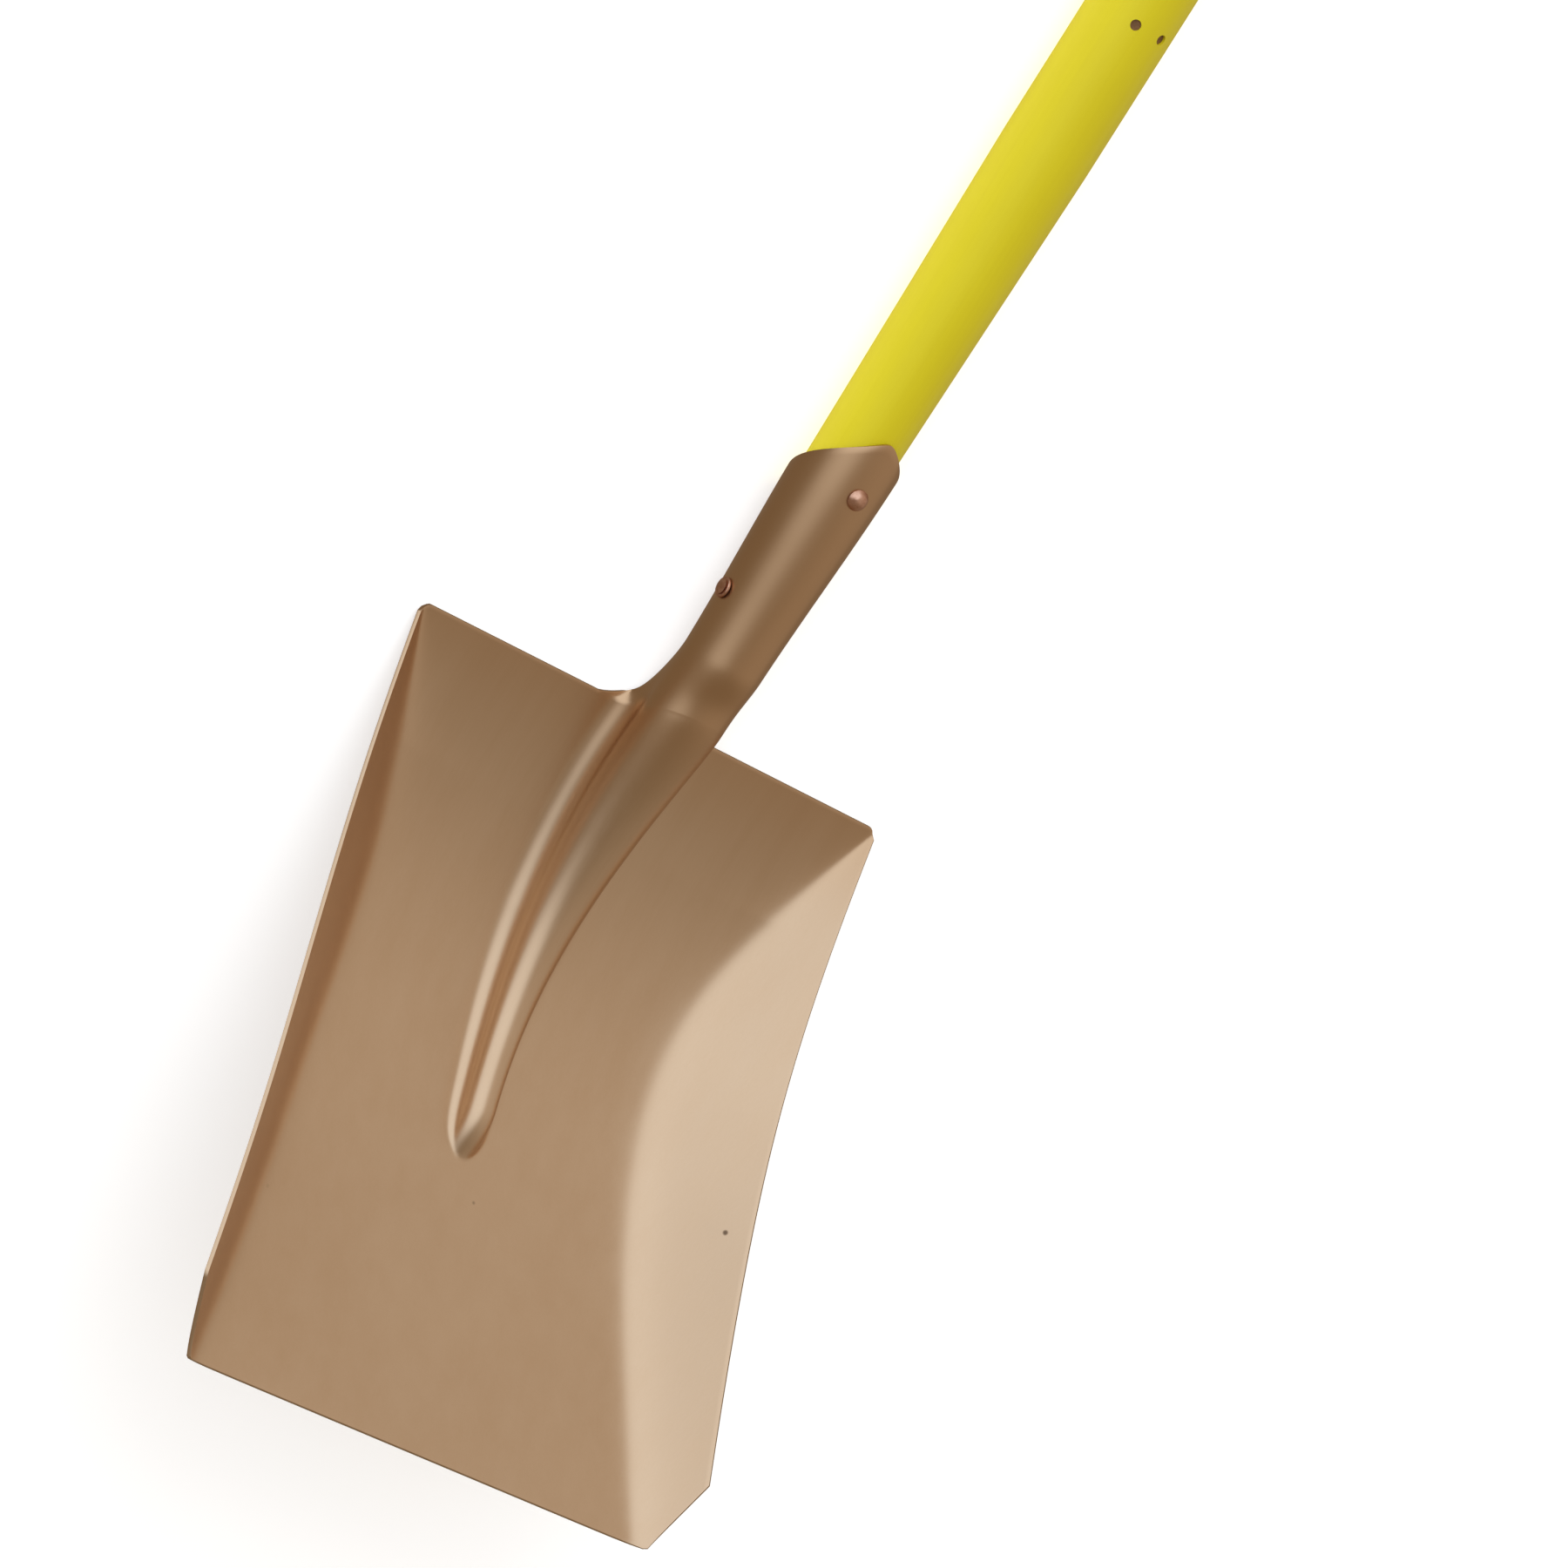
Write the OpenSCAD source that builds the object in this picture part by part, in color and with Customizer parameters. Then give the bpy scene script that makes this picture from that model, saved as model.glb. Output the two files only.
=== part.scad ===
// Square-point shovel: one pressed bronze sheet forms the blade, its frog and its socket,
// a tapered fibreglass handle is riveted into the socket and a moulded D-grip closes the top.
// The shovel lies load side up, +Y runs along the handle towards the grip, X = 0 splits it.

/* [Blade] */
// width of the blade across its top edge
blade_w = 241; // [200:1:290]
// length from the top edge to the cutting edge, measured along the handle's side view
blade_len = 312; // [260:1:370]
// thickness of the sheet
sheet_t = 1.6; // [1.2:0.1:2.5]
// fall of the upper half of the floor
back_angle = 23; // [15:0.5:30]
// rise of the toe towards the cutting edge
toe_angle = 23; // [15:0.5:30]
// length over which the floor bends from fall to rise
bend_len = 260; // [200:5:320]
// depth of the floor's cross dish
dish = 1.6; // [0:0.1:12]
// rise of the side wall tops
wall_rise = 13.3; // [8:0.1:18]
// lean of the side walls from the vertical near the top edge
flare_back = 45; // [30:1:55]
// lean of the side walls from the vertical near the toe
flare_toe = 37; // [25:1:50]
// inward run of the side wall tops behind the bend
waist_angle = 1.15; // [0:0.05:3]
// outward splay of the side wall tops at the toe
splay_angle = 5.7; // [2:0.1:9]
// how far the side walls stop short of the cutting edge
wall_setback = 33; // [10:1:60]
// softness of the bend between floor and wall
wall_bend = 8; // [3:0.5:14]
// rounding of the top corners
corner_r = 4; // [1:0.5:10]

/* [Frog and socket] */
// length of the raised frog below the top edge
frog_len = 194; // [150:1:240]
// height of the frog at the blade's top edge
frog_h = 35.5; // [30:0.5:40]
// height of the frog just before its rounded tip
frog_tip_h = 10.4; // [5:0.1:14]
// length over which the frog drops
frog_fall = 104; // [70:1:130]
// crown radius of the frog at the top edge
frog_r = 17.5; // [15:0.5:20]
// crown radius of the frog at its tip
frog_tip_r = 7.3; // [6:0.1:13]
// foot fillet of the frog at the top edge
frog_fillet = 9; // [5:0.5:14]
// length of the socket above the top edge, to the tip of its tongue
socket_len = 140.5; // [110:1:170]
// outside radius of the socket at the neck
socket_neck_r = 17.3; // [15:0.1:20]
// room between the socket's mouth and the handle in it
mouth_gap = 1.84; // [0.5:0.01:4]
// distance from the tip of the tongue back to the front rivet
front_rivet_in = 25.5; // [18:0.5:35]
// distance from the handle's lower end up to the cross rivet
cross_rivet_up = 26; // [15:0.5:40]
// lift of the handle from the blade's top line
lift = 21; // [10:0.5:30]
// height of the handle's axis over the blade's top edge
axis_h = 21; // [19:0.1:24]

/* [Handle] */
// outside radius of the straight handle
handle_r = 19; // [16:0.5:22]
// fit between the neck of the socket and the handle's tapered end
chuck_fit = 0.3; // [0.25:0.05:1]
// wall of the fibreglass tube
tube_wall = 3.5; // [2.5:0.1:5]
// distance from the top edge to the end of the taper
taper_end = 270; // [200:5:320]
// distance from the top edge to the grip end of the tube
tube_end = 652; // [500:1:1200]
// distance from the top edge to the two pin holes
pin_s = 332; // [300:1:400]
// diameter of the two pin holes
pin_d = 4.5; // [3:0.5:8]
// length of the wooden core past the pins
core_past = 40; // [20:1:80]
// length of the wooden plug in the grip end
plug_len = 48; // [45:1:90]

/* [Grip] */
// wall of the grip's ferrule
ferrule_wall = 2.6; // [2.5:0.1:6]
// length of the ferrule over the tube
ferrule_len = 52; // [40:1:70]
// clear width of the hand opening
hand_w = 96; // [85:1:120]
// clear length of the hand opening at its middle
hand_len = 52; // [40:1:80]
// radius of the grip's arms
arm_r = 11; // [8:0.5:14]
// radius of the soft sleeve on the bar
sleeve_r = 16; // [13:0.5:20]

/* [Hidden] */

bronze = [0.66, 0.52, 0.38];
copper = [0.62, 0.38, 0.28];
yellow = [0.82, 0.75, 0.18];
black = [0.08, 0.08, 0.09];
wood = [0.62, 0.48, 0.32];
steel = [0.6, 0.6, 0.62];

fine = 96;
rivet_fn = 48;
gap = 0.1;            // fit between pieces that are pressed or glued together
eps = 0.01;

// layout along the handle, from the blade's top edge
neck_len = 30;        // length over which the arch closes into a tube
tube_start = neck_len;
front_rivet_s = socket_len - front_rivet_in;
cross_rivet_s = tube_start + cross_rivet_up;
core_end = pin_s + core_past;
plug_start = tube_end - plug_len;
chuck_r = socket_neck_r - sheet_t - chuck_fit;
function tube_r(s) = mix(chuck_r, handle_r,
    min(1, (s - tube_start) / (taper_end - tube_start)));
socket_mouth_r = tube_r(socket_len) + mouth_gap + sheet_t;
ferrule_r = handle_r + ferrule_wall;
ferrule_from = tube_end - ferrule_len;
grip_rivet_s = [tube_end - 32, tube_end - 14];
crotch_s = tube_end + 6;
bar_s = crotch_s + arm_r + hand_len + sleeve_r;

// ---- smooth ramps -------------------------------------------------------------------
function step3(t) = let (c = min(1, max(0, t))) c * c * (3 - 2 * c);
function area3(t) = t <= 0 ? 0 : t >= 1 ? t - 0.5 : pow(t, 3) - pow(t, 4) / 2;
function mix(a, b, t) = a + (b - a) * t;
function unit(p) = p / norm(p);

// ---- blade sheet, v runs from the top edge to the cutting edge ----------------------
bend_from = -10;
rise_from = -20;
rise_len = 220;
splay_from = 60;
splay_len = 240;
flare_from = 70;
flare_len = 130;

function ramp(v, from, len) = len * (area3((v - from) / len) - area3(-from / len));
function floor_z(v) = -tan(back_angle) * v
    + (tan(back_angle) + tan(toe_angle)) * ramp(v, bend_from, bend_len);
function top_z(v) = tan(wall_rise) * ramp(v, rise_from, rise_len);
function top_x(v) = blade_w / 2 - tan(waist_angle) * v
    + (tan(waist_angle) + tan(splay_angle)) * ramp(v, splay_from, splay_len);
function flare(v) = mix(flare_back, flare_toe, step3((v - flare_from) / flare_len));
function dish_at(v) = dish * sin(180 * min(1, v / blade_len));
function crease_x(v) = top_x(v)
    - tan(flare(v)) * max(0, top_z(v) - floor_z(v) - dish_at(v));
function soft(u, r) = (u + sqrt(u * u + r * r)) / 2;

// height of the load side over the plane through the top edge, without the frog
function sheet_z(x, v) =
    let (xc = crease_x(v), wall = top_x(v) - xc, slope = 2 * dish_at(v) / xc,
         r = min(wall_bend, 0.4 * wall + eps),
         high = top_z(v) - floor_z(v) - dish_at(v) - slope * wall,
         k = high / soft(wall, r))
    floor_z(v) + dish_at(v) * pow(min(1, x / xc), 2) + slope * max(0, x - xc)
        + k * soft(x - xc, r);

// ---- frog: a round crown on two foot fillets ----------------------------------------
frog_ease = 12;       // keeps the frog's crown level where it meets the socket
frog_round = 24;      // length of the frog's rounded tip
tip_ease = 1.2;       // 0.5 ends the tip in a steep round nose, 2 in a soft run-out
crown_settle = 26;    // the crown has its tip radius this far short of the tip
tip_fillet = 4;
foot_from = 90;       // the foot fillet shrinks from here to the tip

function frog_drop(v) = exp(-v * v / (frog_fall * (v + frog_ease)));
frog_base = (frog_tip_h - frog_h * frog_drop(frog_len)) / (1 - frog_drop(frog_len));
function frog_high(v) = mix(frog_base, frog_h, frog_drop(v));
function crown_r(v) = mix(frog_r, frog_tip_r, step3(v / (frog_len - crown_settle)));
function foot_r(v) = mix(frog_fillet, tip_fillet,
    min(1, max(0, v - foot_from) / (frog_len - foot_from)));
function tangent(v) = acos(max(-1, min(1,
    (foot_r(v) + crown_r(v) - frog_high(v)) / (foot_r(v) + crown_r(v)))));
function foot_x(v) = (crown_r(v) + foot_r(v)) * sin(tangent(v));
// height over the floor in the rounded tip: the same crown and foot, sinking to nothing
function tip_z(x, v) =
    let (t = (v - frog_len + frog_round) / frog_round, r = crown_r(v), f = foot_r(v),
         h = frog_high(v) * pow(max(0, 1 - t * t), tip_ease),
         a = acos(max(-1, (r + f - h) / (r + f))), foot = (r + f) * sin(a))
    x < r * sin(a) ? h - r + sqrt(r * r - x * x)
        : x < foot ? f - sqrt(f * f - pow(foot - x, 2)) : 0;

crown_n = 6;          // facets on half the crown
foot_n = 4;           // facets on one foot fillet
half_n = crown_n + foot_n + 1;
flat_w = 5;           // level strip outside the frog's foot

// half section of the frog, k = 0 on the crest, k = half_n on the level strip
function frog_pt(k, v) =
    let (r = crown_r(v), f = foot_r(v), a = tangent(v), c = frog_high(v) - r)
    k <= crown_n ? let (b = a * k / crown_n) [r * sin(b), c + r * cos(b)] :
    k <= crown_n + foot_n ? let (b = a * (crown_n + foot_n - k) / foot_n)
        [foot_x(v) - f * sin(b), f - f * cos(b)] :
    [foot_x(v) + flat_w, 0];

function strip_w(v) = foot_x(v) + flat_w;

// ---- socket: the middle strip rolled round the handle -------------------------------
seam_angle = 177;     // each edge stops just short of the seam at the back
neck_drop = 2.7;
mouth_slope = 0.71;
mouth_round = 2;
socket_taper = 110;

function socket_r(s) = mix(socket_neck_r, socket_mouth_r, step3((s - 20) / socket_taper));
function mouth_s(k) = let (arc = socket_mouth_r * seam_angle * k / half_n * PI / 180)
    socket_len - mouth_slope * (sqrt(arc * arc + mouth_round * mouth_round) - mouth_round);
function neck_mix(k, s) =
    let (t = min(1, s / neck_len)) mix(step3(t), sqrt(1 - pow(1 - t, 2)), k / half_n);
function socket_pt(k, s) =
    let (a = seam_angle * k / half_n, r = socket_r(s), w = neck_mix(k, s),
         drop = neck_drop * (1 - step3(s / neck_len)),
         tube = [r * sin(a), s * cos(lift) - (r * cos(a) - drop) * sin(lift),
                 axis_h + s * sin(lift) + (r * cos(a) - drop) * cos(lift)],
         p = frog_pt(k, 0),
         arch = [p[0], s * cos(lift), p[1] + s * sin(lift)])
    mix(arch, tube, w);

// ---- the sheet as one net of points -------------------------------------------------
wing_t = [0, 0.14, 0.28, 0.42, 0.54, 0.63, 0.7, 0.76, 0.82, 0.87, 0.92, 0.96, 1];
wing_n = len(wing_t) - 1;
row_t = [0, 0.01, 0.025, 0.045, 0.07, 0.1, 0.135, 0.17, 0.21, 0.25, 0.29, 0.33, 0.37, 0.41,
         0.45, 0.49, 0.53, 0.55, 0.57, 0.588, 0.603, 0.615, 0.625, 0.65, 0.69, 0.74, 0.8,
         0.87, 0.94, 1];
rows = len(row_t) - 1;
roll_t = [0, 0.01, 0.03, 0.06, 0.1, 0.15, 0.2, 0.26, 0.34, 0.44, 0.56, 0.7, 0.85, 1];
rolls = len(roll_t) - 1;
cols = 2 * (wing_n + half_n);
wall_from = 0.87;

// each column runs from its own start at the top edge to its own end at the toe
function col_start(t) = corner_r * pow(max(0, t - 0.96) / 0.04, 2);
function col_end(t) = blade_len - wall_setback * max(0, t - wall_from) / (1 - wall_from);

function wing_pt(k, j) =
    let (t = wing_t[k], v = mix(col_start(t), col_end(t), row_t[j]),
         x = mix(strip_w(min(v, frog_len)), top_x(v), t))
    [x, -v, sheet_z(x, v)];
function strip_pt(k, j) =
    let (v = blade_len * row_t[j], p = frog_pt(k, min(v, frog_len)))
    [p[0], -v, sheet_z(p[0], v) + (v > frog_len - frog_round ? tip_z(p[0], v) : p[1])];
// i counts across the whole blade, j down it; negative j climbs the socket
function net(i, j) =
    let (m = i - cols / 2, k = abs(m), side = m < 0 ? -1 : 1,
         p = j < 0 ? socket_pt(k, mouth_s(k) * roll_t[-j])
           : k <= half_n ? strip_pt(k, j) : wing_pt(k - half_n, j))
    [side * p[0], p[1], p[2]];

function in_strip(i) = abs(i - cols / 2) <= half_n;
function first_row(i) = in_strip(i) ? -rolls : 0;
function first_col(j) = j < 0 ? wing_n : 0;
function last_col(j) = cols - first_col(j);
function normal(i, j) = unit(cross(
    net(min(last_col(j), i + 1), j) - net(max(first_col(j), i - 1), j),
    net(i, max(first_row(i), j - 1)) - net(i, min(rows, j + 1))));

cells = [for (j = [-rolls:rows]) for (i = [first_col(j):last_col(j)]) [i, j]];
count = len(cells);
strip_cols = 2 * half_n + 1;
function id(i, j) = j < 0 ? (j + rolls) * strip_cols + i - wing_n
    : rolls * strip_cols + j * (cols + 1) + i;

rim = concat(
    [for (i = [0:wing_n]) id(i, 0)],
    [for (j = [1:rolls]) id(wing_n, -j)],
    [for (i = [wing_n + 1:cols - wing_n]) id(i, -rolls)],
    [for (j = [1:rolls - 1]) id(cols - wing_n, j - rolls)],
    [for (i = [cols - wing_n:cols]) id(i, 0)],
    [for (j = [1:rows]) id(cols, j)],
    [for (i = [1:cols]) id(cols - i, rows)],
    [for (j = [1:rows - 1]) id(0, rows - j)]);

face = [for (c = cells) net(c[0], c[1])];
back = [for (c = cells) net(c[0], c[1]) - sheet_t * normal(c[0], c[1])];

module sheet() {
    quads = [for (j = [-rolls:rows - 1]) for (i = [first_col(j):last_col(j) - 1])
             [id(i, j), id(i + 1, j), id(i + 1, j + 1), id(i, j + 1)]];
    polyhedron(concat(face, back), concat(
        [for (q = quads) [q[0], q[1], q[2]]],
        [for (q = quads) [q[0], q[2], q[3]]],
        [for (q = quads) [q[2] + count, q[1] + count, q[0] + count]],
        [for (q = quads) [q[3] + count, q[2] + count, q[0] + count]],
        [for (k = [0:len(rim) - 1]) let (a = rim[k], b = rim[(k + 1) % len(rim)])
            [b, a, a + count]],
        [for (k = [0:len(rim) - 1]) let (a = rim[k], b = rim[(k + 1) % len(rim)])
            [b, a + count, b + count]]));
}

// ---- placing: the handle's axis level, the lowest point at 0, the length centred ----
function level_y(p) = p[1] * cos(lift) + (p[2] - axis_h) * sin(lift);
function level_z(p) = (p[2] - axis_h) * cos(lift) - p[1] * sin(lift);
toe_y = min([for (p = concat(face, back)) level_y(p)]);
heel_z = min([for (p = back) level_z(p)]);
place_y = -(toe_y + bar_s + sleeve_r) / 2;
place_z = max(ferrule_r, -heel_z);

module placed() translate([0, place_y, place_z]) rotate([-lift, 0, 0])
    translate([0, 0, -axis_h]) children();
// origin on the handle's axis, +Z along the handle towards the grip, +Y to the load side
module on_axis(s = 0) translate([0, place_y + s, place_z]) rotate([-90, 0, 0])
    rotate([0, 0, 180]) children();
module across(turn) rotate([0, 0, turn]) rotate([-90, 0, 0]) children();

// ---- rivets -------------------------------------------------------------------------
shank_r = 2.4;
head_r = 4.5;
head_h = 3;
tail_r = 3.2;
tail_h = 1.1;
burr_r = 4.5;
burr_t = 1.2;
low_head_r = 4;       // the cross rivet's head is hammered almost flush
low_head_h = 0.6;
cross_stand = 0.2;    // the burr lies flat on the round socket, just off its crest

module cap(r, h) {
    ball = (r * r + h * h) / (2 * h);
    intersection() {
        translate([0, 0, h - ball]) sphere(r = ball, $fn = rivet_fn);
        cylinder(r = r + 1, h = h + 1);
    }
}
// a rivet along +Z: head seated at `top`, tail peened over at `low`
module rivet(top, low, r = head_r, h = head_h) {
    translate([0, 0, low - tail_h / 2])
        cylinder(r = shank_r, h = top - low + (tail_h + h) / 2, $fn = rivet_fn);
    translate([0, 0, top]) cap(r, h);
    translate([0, 0, low]) mirror([0, 0, 1]) cap(tail_r, tail_h);
}
module burr(low) translate([0, 0, low]) difference() {
    cylinder(r = burr_r, h = burr_t, $fn = rivet_fn);
    translate([0, 0, -1]) cylinder(r = shank_r + gap, h = burr_t + 2, $fn = rivet_fn);
}
module rivet_hole(reach) translate([0, 0, -reach])
    cylinder(r = shank_r + gap, h = 2 * reach, $fn = rivet_fn);

front_seat = socket_r(front_rivet_s);
front_back = tube_r(front_rivet_s);
cross_seat = socket_r(cross_rivet_s);

module front_rivet() color(copper)
    on_axis(front_rivet_s) across(0) rivet(front_seat, -front_back - burr_t - gap);
module front_rivet_burr() color(copper)
    on_axis(front_rivet_s) across(0) burr(-front_back - burr_t);
module cross_rivet() color(copper) on_axis(cross_rivet_s) across(90)
    rivet(cross_seat, -cross_seat - burr_t - gap - cross_stand, low_head_r, low_head_h);
module cross_rivet_burr() color(copper) on_axis(cross_rivet_s) across(90)
    burr(-cross_seat - burr_t - cross_stand);

module blade() color(bronze) difference() {
    placed() sheet();
    on_axis(front_rivet_s) across(0) translate([0, 0, handle_r])
        rivet_hole(handle_r / 2);
    on_axis(cross_rivet_s) across(90) rivet_hole(2 * handle_r);
}

// ---- handle -------------------------------------------------------------------------
pin_turns = [-22, 20];
pin_depth = 10;
pin_recess = 1.2;

module handle_shape(inset, from, to) {
    translate([0, 0, from]) cylinder(r1 = tube_r(from) - inset, r2 = handle_r - inset,
        h = taper_end - from, $fn = fine);
    translate([0, 0, taper_end - eps]) cylinder(r = handle_r - inset,
        h = to - taper_end + eps, $fn = fine);
}
module handle_holes() {
    translate([0, 0, front_rivet_s]) across(0) rivet_hole(2 * handle_r);
    translate([0, 0, cross_rivet_s]) across(90) rivet_hole(2 * handle_r);
    for (a = pin_turns) translate([0, 0, pin_s]) across(a)
        translate([0, 0, handle_r - pin_depth])
            cylinder(d = pin_d, h = pin_depth + 2, $fn = rivet_fn);
}
module handle_tube() color(yellow) on_axis() difference() {
    handle_shape(0, tube_start, tube_end);
    handle_shape(tube_wall, tube_start - 1, tube_end + 1);
    handle_holes();
    for (s = grip_rivet_s) translate([0, 0, s]) across(0) rivet_hole(2 * handle_r);
}
module handle_core() color(wood) on_axis() difference() {
    handle_shape(tube_wall + gap, tube_start + 2, core_end);
    handle_holes();
}
module core_pins() color(copper)
    for (a = pin_turns) on_axis(pin_s) across(a)
        translate([0, 0, handle_r - pin_depth + eps])
            cylinder(d = pin_d - gap, h = pin_depth - pin_recess, $fn = rivet_fn);

// ---- grip ---------------------------------------------------------------------------
arm_x = hand_w / 2 + arm_r;
knee_s = tube_end + 34;
bar_core_r = 10;
grip_recess = 1.6;    // how deep the grip's rivets and their burrs sit in the ferrule
grip_seat = ferrule_r - grip_recess;
arm_fn = 48;
knuckle_swell = 0.6;

module tube_plug() color(wood) on_axis() difference() {
    translate([0, 0, plug_start]) cylinder(r = handle_r - tube_wall - gap,
        h = tube_end - plug_start - 1, $fn = fine);
    for (s = grip_rivet_s) translate([0, 0, s]) across(0) rivet_hole(2 * handle_r);
}
// straight round arm between two points [x, s]
module arm(a, b) {
    d = b - a;
    translate([a[0], 0, a[1]]) rotate([0, atan2(d[0], d[1]), 0])
        cylinder(r = arm_r, h = norm(d), $fn = arm_fn);
}
module knuckle(p) translate([p[0], 0, p[1]]) sphere(r = arm_r + knuckle_swell, $fn = arm_fn);
module ferrule_body() translate([0, 0, ferrule_from]) rotate_extrude($fn = fine)
    polygon([[0, 0], [ferrule_r, 0], [ferrule_r, ferrule_len], [ferrule_r - 3, ferrule_len + 8],
             [ferrule_r - 10, ferrule_len + 14], [0, ferrule_len + 14]]);
module grip_yoke() color(black) on_axis() difference() {
    union() {
        ferrule_body();
        for (m = [0, 1]) mirror([m, 0, 0]) {
            arm([ferrule_r - arm_r, tube_end], [arm_x, knee_s]);
            knuckle([arm_x, knee_s]);
            arm([arm_x, knee_s], [arm_x, bar_s]);
            knuckle([arm_x, bar_s]);
        }
        translate([-arm_x, 0, bar_s]) rotate([0, 90, 0])
            cylinder(r = bar_core_r, h = 2 * arm_x, $fn = fine);
    }
    translate([0, 0, ferrule_from - 1]) cylinder(r = handle_r + gap / 2,
        h = ferrule_len + 1 + gap, $fn = fine);
    for (s = grip_rivet_s) translate([0, 0, s]) across(0) {
        rivet_hole(2 * handle_r);
        for (m = [0, 1]) mirror([0, 0, m]) translate([0, 0, grip_seat])
            cylinder(r = burr_r + gap, h = 2 * grip_recess, $fn = rivet_fn);
    }
}
module grip_sleeve() color(steel) on_axis() translate([-hand_w / 2, 0, bar_s])
    rotate([0, 90, 0]) difference() {
        cylinder(r = sleeve_r, h = hand_w, $fn = fine);
        translate([0, 0, -1]) cylinder(r = bar_core_r + gap / 2, h = hand_w + 2, $fn = fine);
    }
module grip_rivets() color(copper) for (s = grip_rivet_s) on_axis(s) across(0)
    rivet(grip_seat, -grip_seat - burr_t - gap);
module grip_rivet_burrs() color(copper) for (s = grip_rivet_s) on_axis(s) across(0)
    burr(-grip_seat - burr_t);

blade();
front_rivet();
front_rivet_burr();
cross_rivet();
cross_rivet_burr();
handle_tube();
handle_core();
core_pins();
tube_plug();
grip_yoke();
grip_sleeve();
grip_rivets();
grip_rivet_burrs();
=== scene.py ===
import math

import bmesh
import bpy
from mathutils import Matrix, Vector


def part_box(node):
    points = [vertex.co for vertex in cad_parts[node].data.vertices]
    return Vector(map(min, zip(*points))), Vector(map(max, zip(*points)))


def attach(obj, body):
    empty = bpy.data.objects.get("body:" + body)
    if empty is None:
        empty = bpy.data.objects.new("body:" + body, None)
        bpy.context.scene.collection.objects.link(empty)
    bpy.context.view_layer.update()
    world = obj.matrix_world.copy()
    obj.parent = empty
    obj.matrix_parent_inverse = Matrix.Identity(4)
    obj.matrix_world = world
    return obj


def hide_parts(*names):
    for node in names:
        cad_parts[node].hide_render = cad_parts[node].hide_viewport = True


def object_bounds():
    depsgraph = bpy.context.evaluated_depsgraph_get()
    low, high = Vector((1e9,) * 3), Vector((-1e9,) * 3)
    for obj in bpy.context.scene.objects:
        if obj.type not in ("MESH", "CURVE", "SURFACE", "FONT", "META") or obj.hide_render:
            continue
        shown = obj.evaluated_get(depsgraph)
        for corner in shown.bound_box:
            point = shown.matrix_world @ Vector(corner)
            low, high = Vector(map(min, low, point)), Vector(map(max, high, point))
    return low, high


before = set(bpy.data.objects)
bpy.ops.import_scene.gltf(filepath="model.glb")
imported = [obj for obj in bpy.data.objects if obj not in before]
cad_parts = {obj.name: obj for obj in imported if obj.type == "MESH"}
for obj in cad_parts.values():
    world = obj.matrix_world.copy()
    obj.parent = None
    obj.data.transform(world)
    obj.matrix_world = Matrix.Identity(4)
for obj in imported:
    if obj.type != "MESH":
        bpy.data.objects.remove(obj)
cad_low, cad_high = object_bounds()

# ---- Camera ---------------------------------------------------------------------------
# A long lens looks down on the blade from its left side, square to the load side, so the
# handle climbs to the top right and runs out of the frame.
camera = bpy.data.objects.new("camera", bpy.data.cameras.new("camera"))
bpy.context.scene.collection.objects.link(camera)
bpy.context.scene.camera = camera
camera.location = (-1.46765, 0.18073, 2.33921)
camera.rotation_euler = [math.radians(turn) for turn in (-25.806, -23.391, 35.313)]
camera.data.lens, camera.data.sensor_width = 158.48, 36.0
camera.data.clip_start, camera.data.clip_end = 0.05, 40.0


# ---- Studio ---------------------------------------------------------------------------
# A pale floor in a round, softly lit room. One side of the room is bright and the side
# across from it is in half shade, which is what rolls the light over the bent sheet.
class Wire:
    """A node's output that can stand in a sum: each +, -, * or / adds its Math node."""

    def __init__(self, tree, socket):
        self.tree, self.socket = tree, socket

    @staticmethod
    def node(tree, kind, settings=None, values=None, out=0):
        """Adds one node: its settings first, then the values or wires of its sockets."""
        made = tree.nodes.new(kind)
        for name, value in (settings or {}).items():
            setattr(made, name, value)
        for name, value in (values or {}).items():
            if isinstance(value, Wire):
                tree.links.new(value.socket, made.inputs[name])
            else:
                made.inputs[name].default_value = value
        return Wire(tree, made.outputs[out])

    def math(self, operation, *others):
        return Wire.node(self.tree, "ShaderNodeMath", {"operation": operation},
                         dict(enumerate((self,) + others)))

    def __add__(self, other):
        return self.math("ADD", other)

    __radd__ = __add__

    def __sub__(self, other):
        return self.math("SUBTRACT", other)

    def __rsub__(self, other):
        return Wire.node(self.tree, "ShaderNodeMath", {"operation": "SUBTRACT"},
                         {0: other, 1: self})

    def __mul__(self, other):
        return self.math("MULTIPLY", other)

    __rmul__ = __mul__

    def __truediv__(self, other):
        return self.math("DIVIDE", other)

    def __rtruediv__(self, other):
        return Wire.node(self.tree, "ShaderNodeMath", {"operation": "DIVIDE"},
                         {0: other, 1: self})

    def clip(self):
        return self.math("MAXIMUM", 0.0).math("MINIMUM", 1.0)

    def ease(self):
        """0 to 1 with level ends."""
        at = self.clip()
        return at * at * (3.0 - 2.0 * at)

    def noise(self, scale, detail=2.0, rough=0.5):
        return Wire.node(self.tree, "ShaderNodeTexNoise", {"noise_dimensions": "3D"},
                         {"Vector": self, "Scale": scale, "Detail": detail,
                          "Roughness": rough})

    def stretched(self, scale, turn=(0.0, 0.0, 0.0)):
        return Wire.node(self.tree, "ShaderNodeMapping", {"vector_type": "POINT"},
                         {"Vector": self, "Scale": scale, "Rotation": turn})


def tinted(amount, low, high):
    """The colour between two others: low at 0, high at 1."""
    return Wire.node(amount.tree, "ShaderNodeMix", {"data_type": "RGBA"},
                     {0: amount, 6: low, 7: high}, out=2)


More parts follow.
